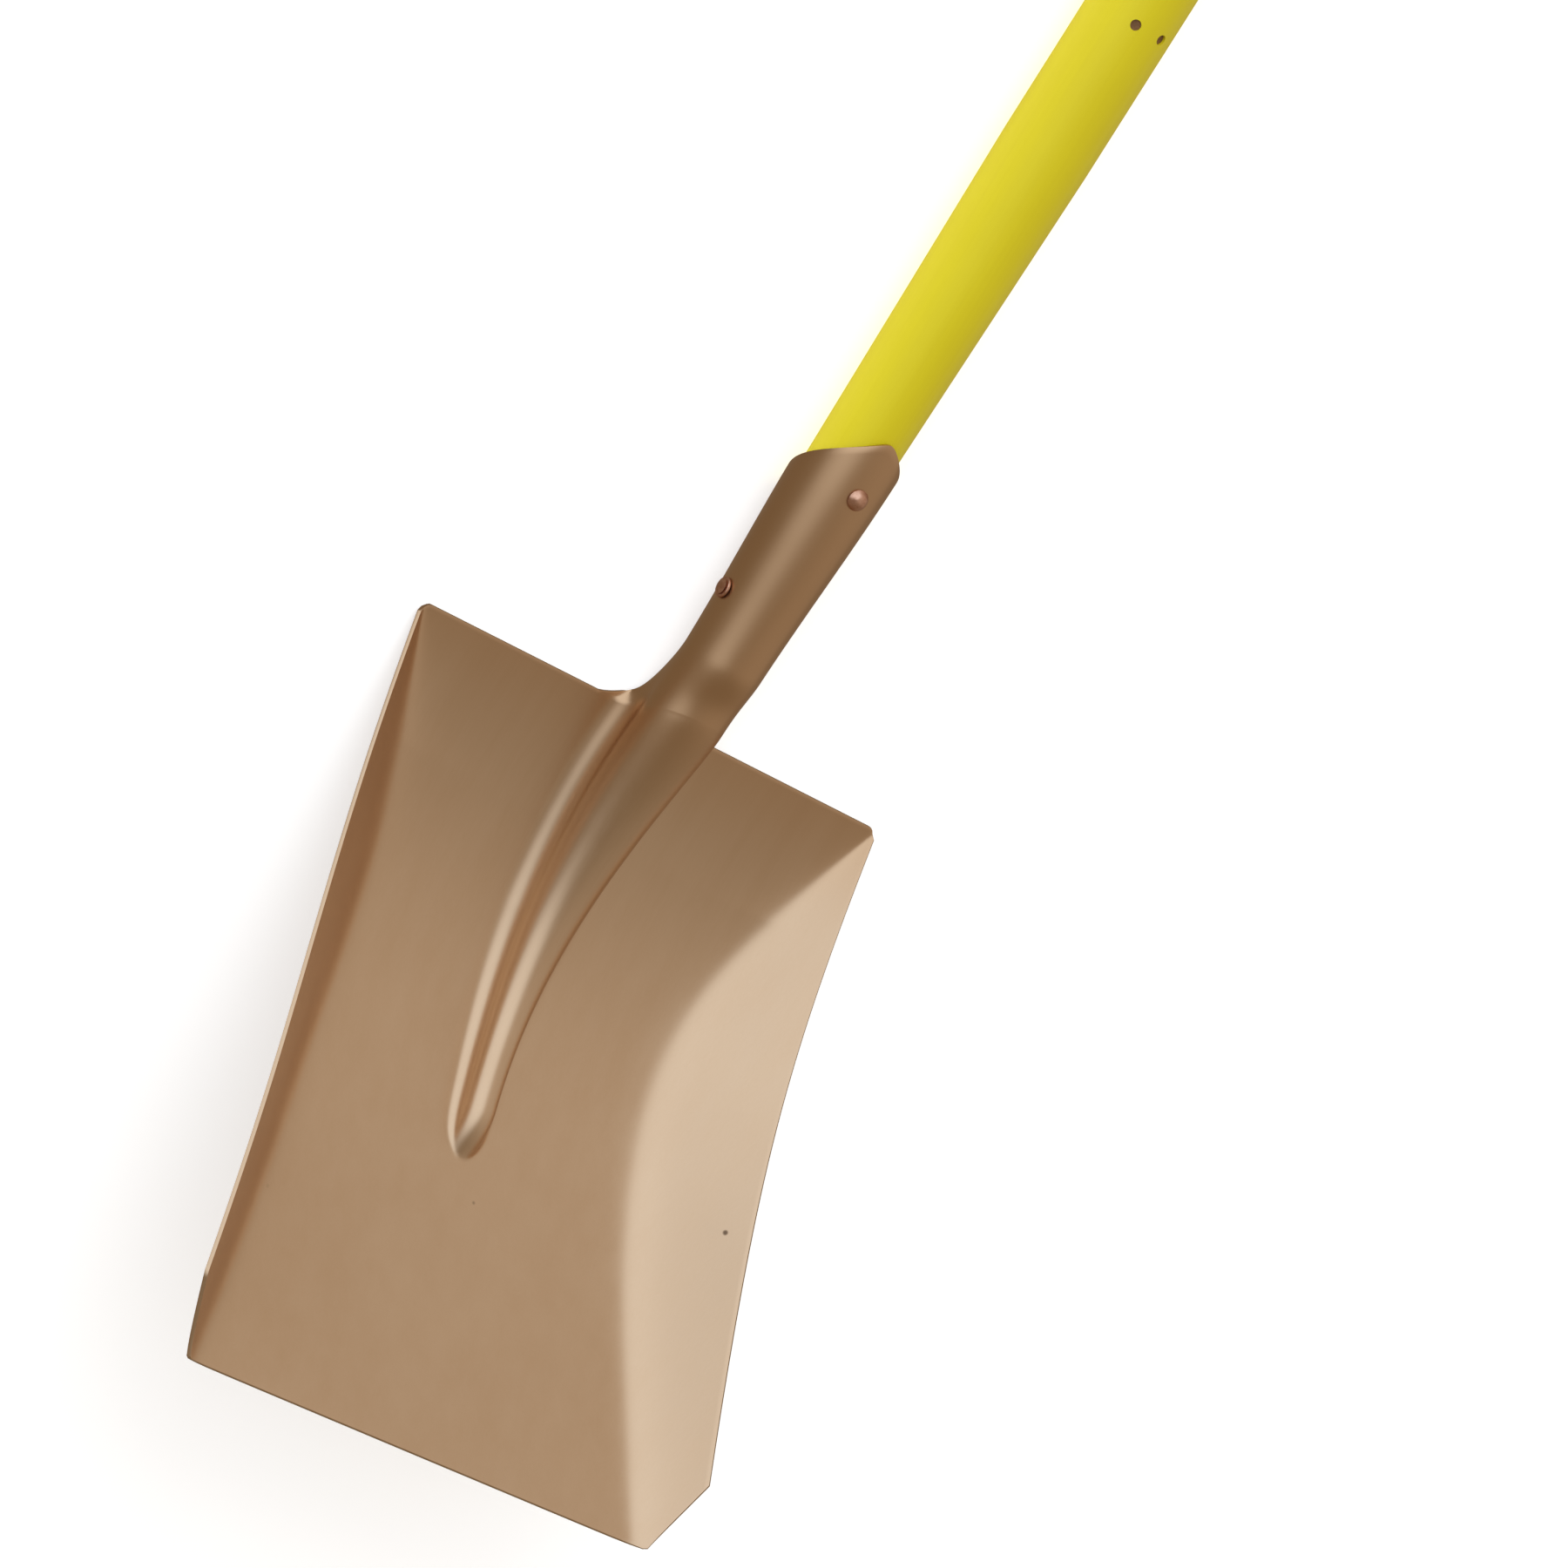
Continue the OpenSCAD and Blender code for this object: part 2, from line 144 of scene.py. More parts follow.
room = bpy.data.worlds.new("studio_room")
bpy.context.scene.world = room
room.use_nodes = True
room.node_tree.nodes.clear()
light_end = Vector((0.42, 0.88, 0.22)).normalized()
window_side = Vector((-0.61, 0.55, 0.57)).normalized()
room_dark, room_light = (0.28, 0.225, 0.16, 1.0), (0.66, 0.60, 0.54, 1.0)
window_light = (1.14, 1.25, 1.40, 1.0)
look = Wire.node(room.node_tree, "ShaderNodeTexCoord")


def toward(direction):
    """1 where the room is seen along this direction, -1 behind."""
    return Wire.node(room.node_tree, "ShaderNodeVectorMath", {"operation": "DOT_PRODUCT"},
                     {0: look, 1: direction}, out=1)


half_lit, window_edge, under_horizon = 0.20, 0.60, 0.06
room_colour = tinted(((toward(light_end) + half_lit) / 1.12).ease(), room_dark, room_light)
room_colour = tinted(((toward(window_side) - window_edge) / 0.26).ease(), room_colour,
                     window_light)
below = ((under_horizon - toward((0.0, 0.0, 1.0))) / 0.22).ease()
room_colour = tinted(below, room_colour, room_dark)
glow = Wire.node(room.node_tree, "ShaderNodeBackground", None, {0: room_colour, 1: 1.0})
room_out = room.node_tree.nodes.new("ShaderNodeOutputWorld")
room.node_tree.links.new(glow.socket, room_out.inputs["Surface"])
bpy.context.scene.view_settings.view_transform = "Standard"

lamp = bpy.data.objects.new("soft_lamp", bpy.data.lights.new("soft_lamp", "AREA"))
bpy.context.scene.collection.objects.link(lamp)
lamp.data.shape, lamp.data.size = "DISK", 1.6
lamp.data.energy, lamp.data.color = 14.0, (1.0, 0.98, 0.95)
lamp.visible_glossy = False
lamp.location = (-1.1, 1.5, 2.2)
lamp.rotation_euler = (-lamp.location).to_track_quat("-Z", "Y").to_euler()


def finish_of(name, colour, roughness=0.5, metallic=0.0):
    """A new material: its tree, its shader node and the wire of its Object coordinates."""
    material = bpy.data.materials.new(name)
    material.use_nodes = True
    tree = material.node_tree
    shader = tree.nodes["Principled BSDF"]
    shader.inputs["Base Color"].default_value = colour
    shader.inputs["Roughness"].default_value = roughness
    shader.inputs["Metallic"].default_value = metallic
    material.diffuse_color = colour
    return material, tree, shader, Wire.node(tree, "ShaderNodeTexCoord", out="Object")


def feed(shader, **wires):
    """Joins wires to the shader's sockets, whose names are written with _ for a space."""
    for name, wire in wires.items():
        socket = shader.inputs[name.replace("_", " ")]
        wire.tree.links.new(wire.socket, socket)


def bumped(height, strength, depth, under=None):
    """A bump of this depth in metres, on top of another bump where one is given."""
    values = {"Height": height, "Strength": strength, "Distance": depth}
    if under is not None:
        values["Normal"] = under
    return Wire.node(height.tree, "ShaderNodeBump", None, values)


floor_paint, tree, shader, place = finish_of("floor_paint", (0.88, 0.88, 0.87, 1.0), 0.8)
shader.inputs["Specular IOR Level"].default_value = 0.1
shader.inputs["Emission Color"].default_value = (1.0, 1.0, 1.0, 1.0)
shader.inputs["Emission Strength"].default_value = 0.55
feed(shader, Roughness=0.78 + 0.06 * place.noise(6.0))
floor_mesh = bpy.data.meshes.new("floor")
floor_reach, floor_gap = 9.0, 0.0003
floor_mesh.from_pydata([(x * floor_reach, y * floor_reach, cad_low.z - floor_gap)
                        for x, y in ((-1, -1), (1, -1), (1, 1), (-1, 1))], [],
                       [(0, 1, 2, 3)])
floor_mesh.materials.append(floor_paint)
studio_floor = bpy.data.objects.new("floor", floor_mesh)
bpy.context.scene.collection.objects.link(studio_floor)
studio_floor.visible_glossy = False

# ---- Blade ----------------------------------------------------------------------------
# One sheet of bronze, pressed into a dished floor with side walls and a hollow frog down
# its middle. The strip behind the frog is rolled round the handle's end as a socket, open
# in a seam along the back. Every point of it follows one rule, worked out by nodes.
blade_sizes = {
    "Top width": 0.241, "Length": 0.312, "Floor dish": 0.0016, "Wall bend": 0.008,
    "Frog length": 0.194, "Frog height": 0.0355, "Socket length": 0.1405,
    "Neck radius": 0.0173, "Mouth radius": 0.0205, "Handle lift": math.radians(21.0),
}
sheet_thickness, axis_height = 0.0016, 0.021
strip_columns, wing_columns, blade_rows, socket_rows = 36, 56, 216, 60
front_rivet_along, cross_rivet_along = 0.115, 0.056
rivet_low, rivet_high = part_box("front_rivet")
tube_low, tube_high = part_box("handle_tube")
top_edge_y = (rivet_low.y + rivet_high.y) / 2 - front_rivet_along
handle_z = (tube_low.z + tube_high.z) / 2


def between(low, high, share):
    """low at share 0, high at share 1; numbers or wires."""
    return low + (high - low) * share


def ramp(v, start, length):
    """What a slope of 1 adds when it eases in from start over length, from 0 at v = 0."""
    at = (v - start) / length
    part = at.clip()
    gone = max(0.0, -start / length)
    return length * (part * part * part * (1.0 - 0.5 * part)
                     + (at - 1.0).math("MAXIMUM", 0.0) - (gone ** 3 - gone ** 4 / 2))


def new_nodes(name, sizes):
    """A geometry tree with one named input for each size, and the wires of them."""
    tree = bpy.data.node_groups.new(name, "GeometryNodeTree")
    tree.interface.new_socket("Geometry", in_out="OUTPUT", socket_type="NodeSocketGeometry")
    for label, size in sizes.items():
        kind = "NodeSocketInt" if isinstance(size, int) else "NodeSocketFloat"
        tree.interface.new_socket(label, in_out="INPUT", socket_type=kind)
    source = tree.nodes.new("NodeGroupInput")
    return tree, {label: Wire(tree, source.outputs[label]) for label in sizes}


def made_by(tree, sizes, name, result, material, modifiers=()):
    """Runs the tree with these sizes and keeps what it makes as a plain mesh object."""
    painted = Wire.node(tree, "GeometryNodeSetMaterial", None,
                        {"Geometry": result, "Material": material})
    end = tree.nodes.new("NodeGroupOutput")
    tree.links.new(painted.socket, end.inputs["Geometry"])
    piece = bpy.data.objects.new(name, bpy.data.meshes.new(name))
    bpy.context.scene.collection.objects.link(piece)
    nodes = piece.modifiers.new("nodes", "NODES")
    nodes.node_group = tree
    for socket in tree.interface.items_tree:
        if socket.in_out == "INPUT":
            nodes[socket.identifier] = sizes[socket.name]
    for kind, settings in modifiers:
        extra = piece.modifiers.new(kind.lower(), kind)
        for setting, value in settings.items():
            setattr(extra, setting, value)
    return as_plain_mesh(piece)


def as_plain_mesh(piece, sharp=40.0):
    """Settles a piece's modifiers into its mesh, smooth but for edges over `sharp`."""
    done = bpy.data.meshes.new_from_object(
        piece.evaluated_get(bpy.context.evaluated_depsgraph_get()))
    piece.modifiers.clear()
    done.name = piece.name
    piece.data = done
    done.polygons.foreach_set("use_smooth", [True] * len(done.polygons))
    done.set_sharp_from_angle(angle=math.radians(sharp))
    return piece


def standing_for(piece, slot, *nodes):
    """Ties a finished piece to the frame: it rides the root and stands for its nodes."""
    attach(piece, "root")
    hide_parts(*nodes)
    return piece


blade_tree, size = new_nodes("pressed_blade", blade_sizes)
length, top_width, dish = size["Length"], size["Top width"], size["Floor dish"]
frog_length, frog_height = size["Frog length"], size["Frog height"]
lift_cos, lift_sin = size["Handle lift"].math("COSINE"), size["Handle lift"].math("SINE")


def net_of(columns, rows):
    """A net of points with its two numbers: across it from -1 to 1, along it 0 to 1."""
    net = Wire.node(blade_tree, "GeometryNodeMeshGrid", None,
                    {"Size X": 2.0, "Size Y": 1.0,
                     "Vertices X": 2 * columns + 1, "Vertices Y": rows + 1})
    spot = Wire.node(blade_tree, "GeometryNodeInputPosition")
    apart = blade_tree.nodes.new("ShaderNodeSeparateXYZ")
    blade_tree.links.new(spot.socket, apart.inputs[0])
    return (net, Wire(blade_tree, apart.outputs[0]), Wire(blade_tree, apart.outputs[1]) + 0.5)


def laid(net, x, y, z):
    """Sets the net's points, turned so that the handle's axis lies level."""
    over = z - axis_height
    spot = Wire.node(blade_tree, "ShaderNodeCombineXYZ", None, {
        0: x, 1: top_edge_y + y * lift_cos + over * lift_sin,
        2: handle_z - y * lift_sin + over * lift_cos})
    return Wire.node(blade_tree, "GeometryNodeSetPosition", None,
                     {"Geometry": net, "Position": spot})


def frog_section(k, v):
    """Half of the frog across: a round crown, a foot fillet, then a level strip."""
    crown_end, foot_end, strip = 6 / 11, 10 / 11, 0.005
    fall, level, base = 0.104, 0.012, 0.0051
    crown_at_neck, crown_at_tip, settled = 0.0175, 0.0073, 0.026
    foot_at_neck, foot_at_tip, foot_from = 0.009, 0.004, 0.090
    height = between(base, frog_height, (
        (0.0 - v * v) / (fall * (v + level))).math("EXPONENT"))
    crown = between(crown_at_neck, crown_at_tip, (v / (frog_length - settled)).ease())
    foot = between(foot_at_neck, foot_at_tip,
                   ((v - foot_from) / (frog_length - foot_from)).clip())
    turn = ((foot + crown - height) / (foot + crown)).math("MAXIMUM", -1.0).math(
        "MINIMUM", 1.0).math("ARCCOSINE")
    over = turn * (k / crown_end).clip()
    under = turn * ((foot_end - k) / (foot_end - crown_end)).clip()
    flat = strip * ((k - foot_end) / (1.0 - foot_end)).clip()
    x = crown * over.math("SINE") + foot * (turn.math("SINE") - under.math("SINE")) + flat
    z = (crown * (over.math("COSINE") - turn.math("COSINE"))
         + foot * (1.0 - under.math("COSINE")))
    return x, z, (crown + foot) * turn.math("SINE") + strip, (height, crown, foot)


# the blade below its top edge, v metres down from it, its rows closest at the frog's tip
net, column, along = net_of(strip_columns + wing_columns, blade_rows)
tip_share, drawn_over, drawn_in = 0.60, 0.05, 0.60
off_tip = ((1.0 - along) - tip_share) / drawn_over
down = (1.0 - along) - drawn_in * drawn_over * off_tip * (
    0.0 - off_tip * off_tip).math("EXPONENT")
side = column.math("SIGN")
number = column.math("ABSOLUTE") * float(strip_columns + wing_columns)
k = (number / float(strip_columns)).clip()
share = ((number - float(strip_columns)) / float(wing_columns)).clip()
t = share * (1.35 - 0.35 * share)
corner, corner_from, setback, wall_starts = 0.004, 0.96, 0.033, 0.87
near_side = ((t - corner_from) / (1 - corner_from)).math("MAXIMUM", 0.0)
v = between(corner * near_side * near_side,
            length - setback * ((t - wall_starts) / (1 - wall_starts)).math("MAXIMUM", 0.0),
            down)
on_frog = v.math("MINIMUM", frog_length)
frog_x, frog_z, strip_x, (frog_high, crown, foot) = frog_section(k, on_frog)

# the frog's rounded tip: the same crown and foot, sinking to nothing
tip_length, tip_ease = 0.024, 1.2
sinking = (v - frog_length + tip_length) / tip_length
tip_high = frog_high * (1.0 - sinking * sinking).math("MAXIMUM", 0.0).math("POWER", tip_ease)
tip_cos = ((crown + foot - tip_high) / (crown + foot)).math("MAXIMUM", -1.0)
tip_sin = (1.0 - tip_cos * tip_cos).math("MAXIMUM", 0.0).math("SQRT")
to_foot = (crown + foot) * tip_sin - frog_x
tip_crown = tip_high - crown + (crown * crown - frog_x * frog_x).math("MAXIMUM", 0.0).math("SQRT")
tip_foot = foot - (foot * foot - to_foot * to_foot).math("MAXIMUM", 0.0).math("SQRT")
on_crown = frog_x.math("LESS_THAN", crown * tip_sin)
tip_z = between(tip_foot * to_foot.math("GREATER_THAN", 0.0), tip_crown, on_crown)
frog_z = between(frog_z, tip_z, sinking.math("GREATER_THAN", 0.0))

back_fall, toe_rise, wall_rise, waist, splay = (
    math.tan(math.radians(angle)) for angle in (23.0, 23.0, 13.3, 1.15, 5.7))
flare_back, flare_toe = math.radians(45.0), math.radians(37.0)
floor_z = (back_fall + toe_rise) * ramp(v, -0.010, 0.260) - back_fall * v
wall_top_z = wall_rise * ramp(v, -0.020, 0.220)
wall_top_x = top_width / 2.0 - waist * v + (waist + splay) * ramp(v, 0.060, 0.240)
lean = between(flare_back, flare_toe, ((v - 0.070) / 0.130).ease())
dished = dish * (math.pi * (v / length).clip()).math("SINE")
wall_high = (wall_top_z - floor_z - dished).math("MAXIMUM", 0.0)
crease_x = wall_top_x - lean.math("TANGENT") * wall_high

x = frog_x + (wall_top_x - strip_x) * t
wall_run = wall_top_x - crease_x
slope = 2.0 * dished / crease_x
bend = (0.4 * wall_run + 0.00001).math("MINIMUM", size["Wall bend"])


def soft(run):
    """A bend: level before 0, rising 1 for 1 after it, round between."""
    return (run + (run * run + bend * bend).math("SQRT")) / 2.0


past = x - crease_x
steep = (wall_top_z - floor_z - dished - slope * wall_run) / soft(wall_run)
inside = (x / crease_x).math("MINIMUM", 1.0)
sheet_z = (floor_z + dished * inside * inside + slope * past.math("MAXIMUM", 0.0)
           + steep * soft(past))
blade_half = laid(net, side * x, 0.0 - v, sheet_z + frog_z)

# the socket, s metres up from the top edge
seam = math.radians(177.0)
neck_length, neck_drop, mouth_slope, mouth_round = 0.030, 0.0027, 0.71, 0.002
taper_from, taper_over = 0.020, 0.110
net, column, along = net_of(strip_columns, socket_rows)
side = column.math("SIGN")
k = column.math("ABSOLUTE")
arc = size["Mouth radius"] * seam * k
mouth = size["Socket length"] - mouth_slope * (
    (arc * arc + mouth_round ** 2).math("SQRT") - mouth_round)
s = mouth * along.math("POWER", 1.6)
radius = between(size["Neck radius"], size["Mouth radius"],
                 ((s - taper_from) / taper_over).ease())
closing = (s / neck_length).clip()
open_left = 1.0 - closing
rolled = between(closing.ease(), (1.0 - open_left * open_left).math("SQRT"), k)
drop = neck_drop * (1.0 - closing.ease())
arch_x, arch_z = frog_section(k, 0.0 * s)[:2]
turn = seam * k
reach = radius * turn.math("COSINE") - drop
tube_y = s * lift_cos - reach * lift_sin
tube_z = axis_height + s * lift_sin + reach * lift_cos
socket_half = laid(net, side * between(arch_x, radius * turn.math("SINE"), rolled),
                   between(s * lift_cos, tube_y, rolled),
                   between(arch_z + s * lift_sin, tube_z, rolled))

sheet = blade_tree.nodes.new("GeometryNodeJoinGeometry")
for half in (socket_half, blade_half):
    blade_tree.links.new(half.socket, sheet.inputs[0])
sheet = Wire.node(blade_tree, "GeometryNodeMergeByDistance", None,
                  {"Geometry": Wire(blade_tree, sheet.outputs[0]), "Distance": 0.00002})
sheet = Wire.node(blade_tree, "GeometryNodeRealizeInstances", None, {"Geometry": sheet})

# bronze: streaks along the rolling, cross-brushed grain, rare dark pits, browner socket
bronze_light, bronze_deep = (0.66, 0.474, 0.312, 1.0), (0.59, 0.402, 0.250, 1.0)
bronze_brown, pit_brown = (0.580, 0.352, 0.188, 1.0), (0.10, 0.06, 0.04, 1.0)
bronze, tree, shader, place = finish_of("bronze", bronze_light, 0.36, 1.0)
blotch = place.noise(7.0, 3.0, 0.55)
rolled_streak = place.stretched((90.0, 5.0, 90.0)).noise(1.0, 3.0, 0.6)
brush = place.stretched((1500.0, 40.0, 1500.0), (0.0, 0.0, math.radians(-8.0))).noise(
    1.0, 3.0, 0.65)
speck = Wire.node(tree, "ShaderNodeTexVoronoi", {"feature": "F1"},
                  {"Vector": place, "Scale": 26.0, "Randomness": 1.0})
pit = 1.0 - ((speck - 0.020) / 0.018).clip()
rare = ((place.noise(9.0, 0.0) - 0.60) / 0.04).clip()
tone = (0.45 * blotch + 0.35 * rolled_streak + 0.20 * brush - 0.30) / 0.42
colour = tinted(tone.clip(), bronze_deep, bronze_light)
far = Wire.node(tree, "ShaderNodeSeparateXYZ", None, {0: place}, out=1)
# from a little below the top edge up over the frog's top and the socket, the colour turns browner
# and darker and the finish a little rougher
socket_brown_share = ((far - (top_edge_y - 0.055)) / 0.075).ease() * (0.78 + 0.4 * (blotch - 0.5))
colour = tinted(socket_brown_share, colour, bronze_brown)
colour = tinted(pit * rare * 0.7, colour, pit_brown)
grain = bumped(brush, 0.06, 0.0002)
dimple = bumped(place.noise(30.0, 1.0), 0.06, 0.0020, grain)
feed(shader, Base_Color=colour, Normal=dimple,
     Roughness=(0.25 + 0.10 * rolled_streak + 0.06 * brush + 0.25 * (pit * rare)
                + 0.04 * socket_brown_share))

blade = made_by(
    blade_tree, blade_sizes, "blade_sheet", sheet, bronze,
    [("SOLIDIFY", {"thickness": sheet_thickness, "offset": -1.0, "use_even_offset": True}),
     ("BEVEL", {"width": 0.00035, "segments": 2, "limit_method": "ANGLE",
                "angle_limit": math.radians(60.0)})])
standing_for(blade, "bronze", "blade")

# ---- Socket rivets --------------------------------------------------------------------
# Two solid copper rivets hold the handle: one through the front of the socket into the
# handle, one right across socket and handle. Each is set by hammer over a copper burr, so
# its head is a low dome with faint flats and its tail a smaller, flatter one.
rivet_sizes = {"Head radius": 0.0045, "Head height": 0.0030, "Shank radius": 0.0024,
               "Tail radius": 0.0032, "Tail height": 0.0011}
cross_sizes = dict(rivet_sizes, **{"Head radius": 0.0040, "Head height": 0.0006})

copper_light, copper_deep = (0.74, 0.44, 0.31, 1.0), (0.46, 0.22, 0.13, 1.0)
copper, tree, shader, place = finish_of("copper", copper_light, 0.34, 1.0)
flats = Wire.node(tree, "ShaderNodeTexVoronoi", {"feature": "SMOOTH_F1"},
                  {"Vector": place, "Scale": 420.0, "Smoothness": 0.6})
tarnish = place.noise(260.0, 3.0, 0.6)
feed(shader, Base_Color=tinted(((tarnish - 0.35) / 0.35).clip(), copper_light, copper_deep),
     Roughness=0.26 + 0.22 * tarnish, Normal=bumped(flats, 0.35, 0.0006))


def lathe(name, outline, turns, material):
    """Spins an outline of (radius, height) points round +Z into a closed mesh."""
    mesh = bpy.data.meshes.new(name)
    work = bmesh.new()
    rings = []
    for radius, height in outline:
        if radius < 1e-6:
            rings.append([work.verts.new((0.0, 0.0, height))])
        else:
            rings.append([work.verts.new((radius * math.cos(2 * math.pi * i / turns),
                                          radius * math.sin(2 * math.pi * i / turns),
                                          height)) for i in range(turns)])
    for low, high in zip(rings, rings[1:] + rings[:1]):
        if len(low) == 1 and len(high) == 1:
            continue
        for i in range(turns):
            corners = []
            for ring, at in ((low, i), (low, i + 1), (high, i + 1), (high, i)):
                corner_vert = ring[at % len(ring)]
                if corner_vert not in corners:
                    corners.append(corner_vert)
            work.faces.new(corners)
    bmesh.ops.recalc_face_normals(work, faces=work.faces)
    work.to_mesh(mesh)
    work.free()
    mesh.materials.append(material)
    piece = bpy.data.objects.new(name, mesh)
    bpy.context.scene.collection.objects.link(piece)
    return piece


def dome(radius, height, edge, steps):
    """Half the outline of a hammered head, from its rim to its middle, from height 0."""
    points = [(radius - edge, 0.0), (radius, edge)]
    ball = (radius ** 2 + (height - edge) ** 2) / (2 * (height - edge))
    sweep = math.asin(radius / ball)
    for step in range(1, steps + 1):
        at = sweep * (1 - step / steps)
        points.append((ball * math.sin(at), height - ball + ball * math.cos(at)))
    return points


def rivet_outline(sizes, top, low):
    """A closed outline for lathe: peened tail under low, shank, domed head over top."""
    head = dome(sizes["Head radius"], sizes["Head height"],
                min(0.0005, sizes["Head height"] / 3), 8)
    tail = dome(sizes["Tail radius"], sizes["Tail height"], 0.0004, 6)
    shank = sizes["Shank radius"]
    return ([(r, low - h) for r, h in reversed(tail)] + [(shank, low), (shank, top)]
            + [(r, top + h) for r, h in head])


def across_handle(along, turn=0.0):
    """Where a rivet sits: +Z out through the load side, turned round the handle."""
    return (Matrix.Translation((0.0, top_edge_y + along, handle_z))
            @ Matrix.Rotation(math.radians(turn), 4, "Y"))


def set_in_place(piece, *places):
    """Copies the piece's mesh to each place and leaves the object at the origin."""
    work = bmesh.new()
    for at in places:
        copy = bmesh.new()
        copy.from_mesh(piece.data)
        copy.transform(at)
        spare = bpy.data.meshes.new("spare")
        copy.to_mesh(spare)
        copy.free()
        work.from_mesh(spare)
        bpy.data.meshes.remove(spare)
    work.to_mesh(piece.data)
    work.free()
    return as_plain_mesh(piece)


def reach_of(node, turn):
    """How far a node reaches below and above the handle's axis, along the rivet's +Z."""
    low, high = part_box(node)
    return (low.x, high.x) if turn else (low.z - handle_z, high.z - handle_z)


def rivet_at(name, node, places, turn, sizes):
    """A rivet as long as its CAD node along its own axis, set at each place."""
    low, high = reach_of(node, turn)
    piece = lathe(name, rivet_outline(sizes, high - sizes["Head height"],
                                      low + sizes["Tail height"]), 48, copper)
    set_in_place(piece, *[across_handle(along, turn) for along in places])
    return standing_for(piece, "copper", node)


def burr_at(name, node, places, turn, hole=0.0025, rim=0.0045, edge=0.0003):
    """A flat washer with eased edges, as thick as its CAD node."""
    low, high = reach_of(node, turn)
    outline = [(hole, low), (rim - edge, low), (rim, low + edge), (rim, high - edge),
               (rim - edge, high), (hole, high)]
    piece = lathe(name, outline, 48, copper)
    set_in_place(piece, *[across_handle(along, turn) for along in places])
    return standing_for(piece, "copper", node)


rivet_at("front_rivet_head", "front_rivet", [front_rivet_along], 0.0, rivet_sizes)
rivet_at("cross_rivet_head", "cross_rivet", [cross_rivet_along], 90.0, cross_sizes)
burr_at("front_burr", "front_rivet_burr", [front_rivet_along], 0.0)
burr_at("cross_burr", "cross_rivet_burr", [cross_rivet_along], 90.0)

# ---- Handle ---------------------------------------------------------------------------
# A hollow fibreglass tube, drawn in yellow resin with the glass lying along it, tapered
# into the socket. A wooden core is pinned inside its lower end, and a short wooden plug
# fills it under the grip. The pins sit a little below the surface of their holes.
tube_radius, tube_end_radius, tube_wall, tube_edge = 0.019, 0.0154, 0.0035, 0.0006
tube_starts, taper_ends, tube_ends = 0.030, 0.270, 0.652
pin_along, pin_turns, pin_hole = 0.332, (22.0, -20.0), 0.00225

yellow, deep_yellow = (0.810, 0.690, 0.014, 1.0), (0.715, 0.580, 0.010, 1.0)
fibreglass, tree, shader, place = finish_of("fibreglass", yellow, 0.38)
strand = place.stretched((700.0, 9.0, 700.0)).noise(1.0, 4.0, 0.6)
cloud = place.noise(22.0, 2.0)
handled = place.stretched((60.0, 14.0, 60.0)).noise(1.0, 3.0, 0.6)
shader.inputs["Specular IOR Level"].default_value = 0.32
feed(shader, Base_Color=tinted((0.5 * strand + 0.5 * cloud - 0.30).clip(), yellow,
                               deep_yellow),
     Roughness=0.36 + 0.16 * handled, Normal=bumped(strand, 0.12, 0.0004))

tube_outline = [
    (tube_end_radius - tube_wall, tube_starts), (tube_end_radius - tube_edge, tube_starts),
    (tube_end_radius, tube_starts + tube_edge)]
tube_outline += [(between(tube_end_radius, tube_radius, step / 12),
                  between(tube_starts, taper_ends, step / 12)) for step in range(1, 12)]
tube_outline += [(tube_radius, taper_ends)]
tube_outline += [(tube_radius, between(taper_ends, tube_ends - tube_edge, step / 10))
                 for step in range(1, 11)]
tube_outline += [(tube_radius - tube_edge, tube_ends), (tube_radius - tube_wall, tube_ends),
                 (tube_radius - tube_wall, taper_ends)]
handle = lathe("handle_tube_skin", tube_outline, 128, fibreglass)


def along_handle():
    """+Z of a lathed piece onto the handle's axis, from the blade's top edge."""
    return (Matrix.Translation((0.0, top_edge_y, handle_z))
            @ Matrix.Rotation(math.radians(-90.0), 4, "X"))


set_in_place(handle, along_handle())


def drilled(piece, drills):
    """Cuts round holes: each is a place, a radius, and how far down and up it goes."""
    work = bmesh.new()
    for at, radius, low, high in drills:
        cut = bmesh.ops.create_cone(work, cap_ends=True, segments=40, radius1=radius,
                                    radius2=radius, depth=high - low)
        bmesh.ops.transform(work, verts=cut["verts"], matrix=at @ Matrix.Translation(
            (0.0, 0.0, (low + high) / 2)))
    tool_mesh = bpy.data.meshes.new("drill")
    work.to_mesh(tool_mesh)
    work.free()
    tool = bpy.data.objects.new("drill", tool_mesh)
    bpy.context.scene.collection.objects.link(tool)
    cutter = piece.modifiers.new("holes", "BOOLEAN")
    cutter.operation, cutter.object, cutter.solver = "DIFFERENCE", tool, "EXACT"
    as_plain_mesh(piece)
    bpy.data.objects.remove(tool)
    bpy.data.meshes.remove(tool_mesh)
    return piece


drill_from, drill_to = 0.010, 0.024
drilled(handle, [(across_handle(pin_along, -turn), pin_hole, drill_from, drill_to)
                 for turn in pin_turns])
standing_for(handle, "fibreglass", "handle_tube")

ash, tree, shader, place = finish_of("ash_core", (0.50, 0.35, 0.20, 1.0), 0.7)
rings = Wire.node(tree, "ShaderNodeTexWave", {"wave_type": "RINGS", "rings_direction": "Y"},
                  {"Vector": place.stretched((1.0, 0.08, 1.0)), "Scale": 120.0,
                   "Distortion": 2.5, "Detail": 3.0})
fibre = place.stretched((500.0, 12.0, 500.0)).noise(1.0, 3.0)
feed(shader, Base_Color=tinted(rings * 0.7, (0.56, 0.41, 0.25, 1.0), (0.40, 0.26, 0.14, 1.0)),
     Roughness=0.6 + 0.2 * fibre, Normal=bumped(fibre, 0.3, 0.0004))
